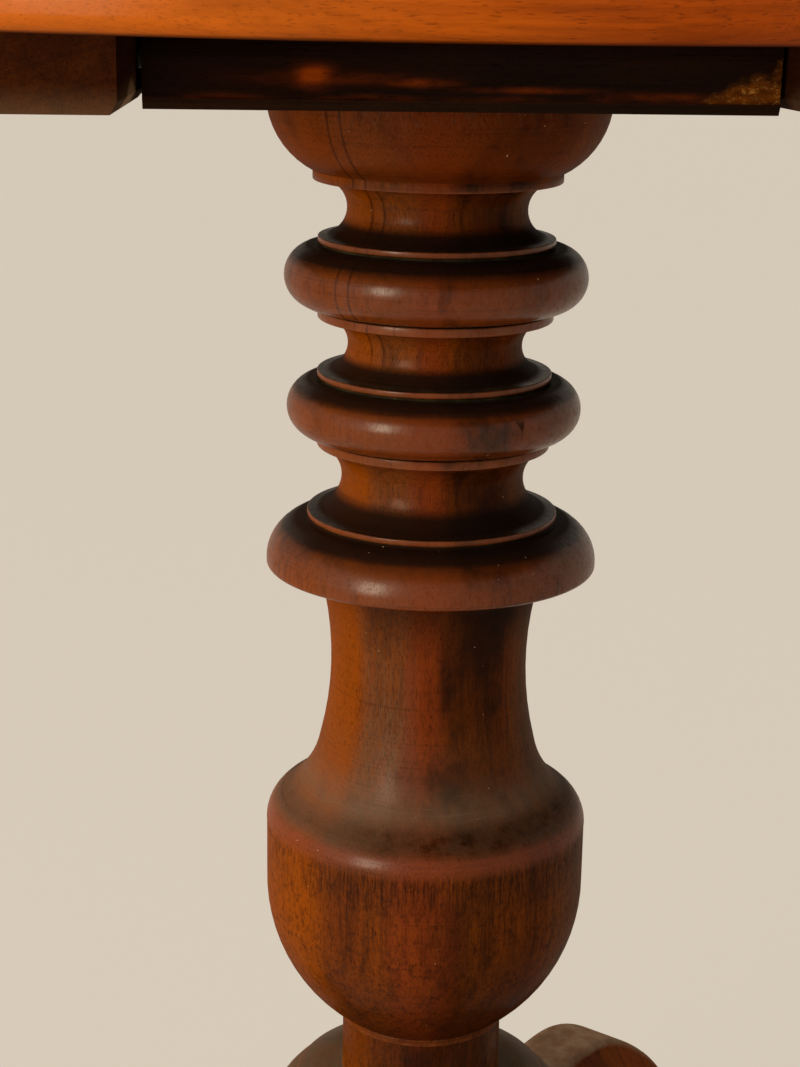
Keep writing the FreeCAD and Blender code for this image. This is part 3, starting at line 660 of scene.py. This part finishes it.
finish, colour, fibres, pores = mahogany(
    "bare_wedge", axes=(0.0, 0.0, 0.0), pith=(0.2, 0.05), tones=wedge_tones, ring_width=4 * MM,
    shift=(0.3, 0.0, 0.0),
)
dress(finish.coat(base_color=colour, roughness=0.6 + 0.15 * fibres, specular_ior_level=0.1), "tenon_wedge")

finish = Finish(bpy.data.materials.new("dull_steel"))
scuffs = finish.grain(900.0, 0.08, detail=3.0)
spots = finish.grain(300.0, 1.0, detail=4.0, rough=0.7).between(0.5, 0.7)
dull_steel = finish.coat(
    base_color=finish.mix(spots * 0.7, steel_tone, steel_rust_tone),
    metallic=0.75 - 0.4 * spots,
    roughness=0.45 + 0.14 * scuffs + 0.2 * spots,
    normal=finish.bump(scuffs + 0.4 * spots, depth=0.05 * MM),
)
dress(dull_steel, "pivot_pin_left", "pivot_pin_right", "catch_spring")

# Bearers: two mahogany battens screwed across the grain of the top, either side of the block, that keep the
# boards flat and turn on the pins. Their arrises are eased, and the left one is rubbed pale low in front.
bearer_edge = 1.2 * MM
bearer_tones = (paint(30, 14, 7), paint(74, 34, 12), paint(98, 50, 18))
bearer_face = 250 * MM * MM
rubbed_front, rubbed_rear = -110 * MM, -50 * MM
rubbed_foot, rubbed_head = 658 * MM, 668 * MM
patch_middle, patch_length = -104 * MM, 21 * MM
patch_foot, patch_height = 657 * MM, 9 * MM
patch_tone = paint(176, 142, 108)

# Each bearer with the shift of its grain, the side that faces the block, and how far it is rubbed pale
bearers = (("bearer_left", 0.0, 1, 0.8), ("bearer_right", 0.4, -1, 0.1))

for bearer, shift, inner_side, patch_share in bearers:
    finish, colour, fibres, pores = mahogany(
        bearer + "_mahogany", axes=(math.pi / 2, 0.0, 0.0), pith=(0.08, 0.05), tones=bearer_tones,
        ring_width=8 * MM, shift=(shift, 0.0, 0.0),
    )
    mottle = finish.grain(140.0, 1.2, detail=4.0, rough=0.7).between(0.35, 0.7)
    colour = finish.mix(mottle * 0.35, colour, bearer_tones[0])
    # Darker on the face toward the block: painted shade between bearer and block
    colour = finish.mix((finish.facing("X") * inner_side).between(0.5, 0.9) * 0.7, colour, bearer_tones[0])
    near_front = 1.0 - finish.along("Y").between(rubbed_front, rubbed_rear)
    low = near_front * (1.0 - finish.along("Z").between(rubbed_foot, rubbed_head))
    colour = finish.mix(patch_share * 0.25 * low, colour, patch_tone)
    beside = (finish.along("Y") - patch_middle) * (1 / patch_length)
    above = (finish.along("Z") - patch_foot) * (1 / patch_height)
    patch = 1.0 - (beside * beside + above * above).between(0.35, 1.0)
    colour = finish.mix(patch * patch_share * (0.5 + 0.5 * mottle), colour, patch_tone)
    bearer_finish = finish.coat(
        base_color=colour,
        roughness=0.45 + 0.12 * fibres,
        coat_weight=0.025,
        coat_roughness=0.3,
        specular_ior_level=0.0,
        normal=finish.bump(0.6 * fibres - 0.8 * pores + 0.3 * mottle, depth=0.12 * MM),
    )
    batten = solid_copy(bearer, bearer_edge)
    new_piece(bearer + "_batten", batten, bearer_finish, "top", "block_wood", bearer, flat_area=bearer_face)

# Top: three boards of orange-brown mahogany, glued edge to edge, sawn round with the edge rounded above and
# below, then scraped, stained and waxed. The grain runs along the boards, from side to side.

# Each board with the shift of its grain, and where its pith lies
board_grains = {
    "top_board_front": (0.3, 0.055),
    "top_board_middle": (1.1, -0.07),
    "top_board_rear": (2.3, 0.09),
}
board_edge = 0.25 * MM
board_tones = (paint(100, 39, 5), paint(158, 66, 9), paint(186, 88, 13))
left_light_tone = paint(226, 122, 34)
underside_shade_tone = paint(44, 18, 6)
board_face = 900 * MM * MM
light_from_x, light_to_x = -150 * MM, 20 * MM

for board, (shift, pith_side) in board_grains.items():
    finish, colour, fibres, pores = mahogany(
        board + "_mahogany", axes=(0.0, math.pi / 2, 0.0), pith=(0.62, pith_side), tones=board_tones,
        ring_width=11 * MM, shift=(0.0, 0.0, shift),
    )
    cloud = finish.grain(14.0, 3.0, detail=2.0, shift=(0.0, 0.4, 0.0))
    rubbed = finish.grain(45.0, 1.5, detail=4.0, rough=0.7).between(0.45, 0.75)
    colour = finish.mix(cloud.between(0.4, 0.65) * 0.35, colour, board_tones[0])
    # Lighter and more orange towards the left: painted light from the left
    left_light_falloff = (finish.along("X") + 0.12 * (cloud - 0.5)).between(light_from_x, light_to_x)
    colour = finish.mix(0.55 - 0.55 * left_light_falloff, colour, left_light_tone)
    # Darker where the boards face down: painted shade under the top
    below = 1.0 - finish.facing("Z").between(-1.0, -0.75)
    colour = finish.mix(0.92 * below, colour, underside_shade_tone)
    board_finish = finish.coat(
        base_color=colour,
        roughness=0.36 + 0.1 * fibres + 0.12 * rubbed,
        coat_weight=(0.16 - 0.08 * rubbed) * (1.0 - below),
        coat_roughness=0.22,
        specular_ior_level=0.0,
        normal=finish.bump(0.5 * fibres - 0.8 * pores, depth=0.08 * MM),
    )
    waxed = solid_copy(board, board_edge)
    new_piece(board + "_waxed", waxed, board_finish, "top", "top_wood", board, flat_area=board_face)

# Catch: a cast brass snap under the top's free side, with a bolt that its spring pushes into a keeper in the
# block's rear edge, a turned knob to draw it back, and brass screws. All the brass is dulled by age.
brass_tone = paint(176, 132, 62)
tarnish_tone = paint(82, 60, 34)

finish = Finish(bpy.data.materials.new("aged_brass"))
tarnish = finish.grain(90.0, 1.0, detail=5.0, rough=0.65).between(0.38, 0.68)
scratches = finish.grain(1500.0, 12.0, detail=2.0)
aged_brass = finish.coat(
    base_color=finish.mix(tarnish * 0.75, brass_tone, tarnish_tone),
    metallic=1.0 - 0.35 * tarnish,
    roughness=0.24 + 0.1 * scratches + 0.28 * tarnish,
    normal=finish.bump(scratches + 0.5 * tarnish, depth=0.04 * MM),
)
dress(
    aged_brass, "catch_plate", "catch_case", "catch_bolt", "catch_knob", "catch_screws", "catch_keeper",
    "keeper_screws",
)

# Floor and light: a plain pale floor in an even pale surround. The room's light comes mostly from the left
# and a little from behind, and one soft warm lamp, in front on the left, makes the highlights.
floor_size, floor_sides = 60.0, 96
floor_tone = paint(206, 196, 182)
surround_tone = paint(216, 204, 187)
floor_glow, floor_strength = 0.7, 1.1
daylight_tone = (1.0, 0.96, 0.9, 1.0)
shade_level = 0.1
left_level = 1.85
right_level = 0.3
rear_level = 0.2
lamp_azimuth = math.radians(-44)
lamp_distance, lamp_height = 1.9, 0.98
lamp_width, lamp_tall = 0.5, 0.9
lamp_power = 20.0
lamp_tone = (1.0, 0.86, 0.64)
lamp_aim = Vector((0, 0, 0.55))


def seen_ray(finish):
    """1 to the camera and in gloss and glass, and 0 for light on its way."""
    camera, glossy, glass = (
        finish.node("ShaderNodeLightPath", {}, {}, kind)
        for kind in ("Is Camera Ray", "Is Glossy Ray", "Is Transmission Ray")
    )
    return camera + glossy + glass


floor_mesh = bmesh.new()
bmesh.ops.create_circle(floor_mesh, cap_ends=True, segments=floor_sides, radius=floor_size)
floor_data = bpy.data.meshes.new("floor")
floor_mesh.to_mesh(floor_data)
floor_mesh.free()
floor = bpy.data.objects.new("floor", floor_data)
bpy.context.scene.collection.objects.link(floor)
finish = Finish(bpy.data.materials.new("pale_floor"))
floor_data.materials.append(finish.coat(base_color=floor_tone, roughness=0.9, specular_ior_level=0.1))
seen = finish.node("ShaderNodeEmission", {}, {"Color": surround_tone, "Strength": floor_strength})
lit = Wire(finish, finish.nodes["Principled BSDF"].outputs[0])
shown = finish.node("ShaderNodeMixShader", {}, {0: seen_ray(finish) * floor_glow, 1: lit, 2: seen})
finish.feed(finish.nodes["Material Output"].inputs["Surface"], shown)

world = bpy.data.worlds.new("studio")
bpy.context.scene.world = world
finish = Finish(world)
direction = finish.node("ShaderNodeTexCoord", {}, {}, "Generated")
from_left = 1.0 - finish.node("ShaderNodeSeparateXYZ", {}, {0: direction}, "X").between(-1.0, 1.0)
from_rear = finish.node("ShaderNodeSeparateXYZ", {}, {0: direction}, "Y").between(0.0, 1.0)
from_right = 1.0 - from_left
sides = left_level * from_left * from_left * from_left + right_level * from_right * from_right * from_right
level = shade_level + sides + rear_level * from_rear
seen = finish.node("ShaderNodeBackground", {}, {"Color": surround_tone})
lit = finish.node("ShaderNodeBackground", {}, {"Color": daylight_tone, "Strength": level})
shown = finish.node("ShaderNodeMixShader", {}, {0: seen_ray(finish), 1: lit, 2: seen})
finish.feed(finish.nodes["World Output"].inputs["Surface"], shown)

lamp = bpy.data.lights.new("window", "AREA")
lamp.shape = "RECTANGLE"
lamp.size, lamp.size_y = lamp_width, lamp_tall
lamp.energy = lamp_power
lamp.color = lamp_tone
lamp_stand = bpy.data.objects.new("window", lamp)
lamp_stand.location = (
    math.sin(lamp_azimuth) * lamp_distance, -math.cos(lamp_azimuth) * lamp_distance, lamp_height
)
lamp_stand.rotation_euler = (lamp_aim - lamp_stand.location).to_track_quat("-Z", "Y").to_euler()
lamp_stand.visible_camera = False
bpy.context.scene.collection.objects.link(lamp_stand)

# Camera: where the photograph was taken from, close in front, level with the top and looking down, with the
# lens worked out for a picture of 800 by 1067
picture_width, picture_height = 800, 1067
focal_pixels = 2094.0
sensor = 36.0
camera_azimuth = math.radians(3.5)
camera_pitch = math.radians(15.98)
camera_roll = math.radians(0.92)
axis_distance = 650 * MM
axis_offset = 10 * MM
camera_height = 701.5 * MM

ahead = Vector((math.sin(camera_azimuth), math.cos(camera_azimuth), 0))
right = Vector((math.cos(camera_azimuth), -math.sin(camera_azimuth), 0))
stand = -ahead * axis_distance - right * axis_offset + Vector((0, 0, camera_height))
look = ahead * math.cos(camera_pitch) - Vector((0, 0, math.sin(camera_pitch)))
upright = right.cross(look)
rolled_right = right * math.cos(camera_roll) + upright * math.sin(camera_roll)
rolled_up = upright * math.cos(camera_roll) - right * math.sin(camera_roll)
lens = bpy.data.cameras.new("camera")
lens.sensor_width = sensor
lens.lens = focal_pixels / max(picture_width, picture_height) * sensor
lens.clip_start = 10 * MM
camera = bpy.data.objects.new("camera", lens)
camera_turn = Matrix((rolled_right, rolled_up, -look)).transposed()
camera.matrix_world = Matrix.Translation(stand) @ camera_turn.to_4x4()
bpy.context.scene.collection.objects.link(camera)
bpy.context.scene.camera = camera
bpy.context.scene.view_settings.view_transform = "Standard"
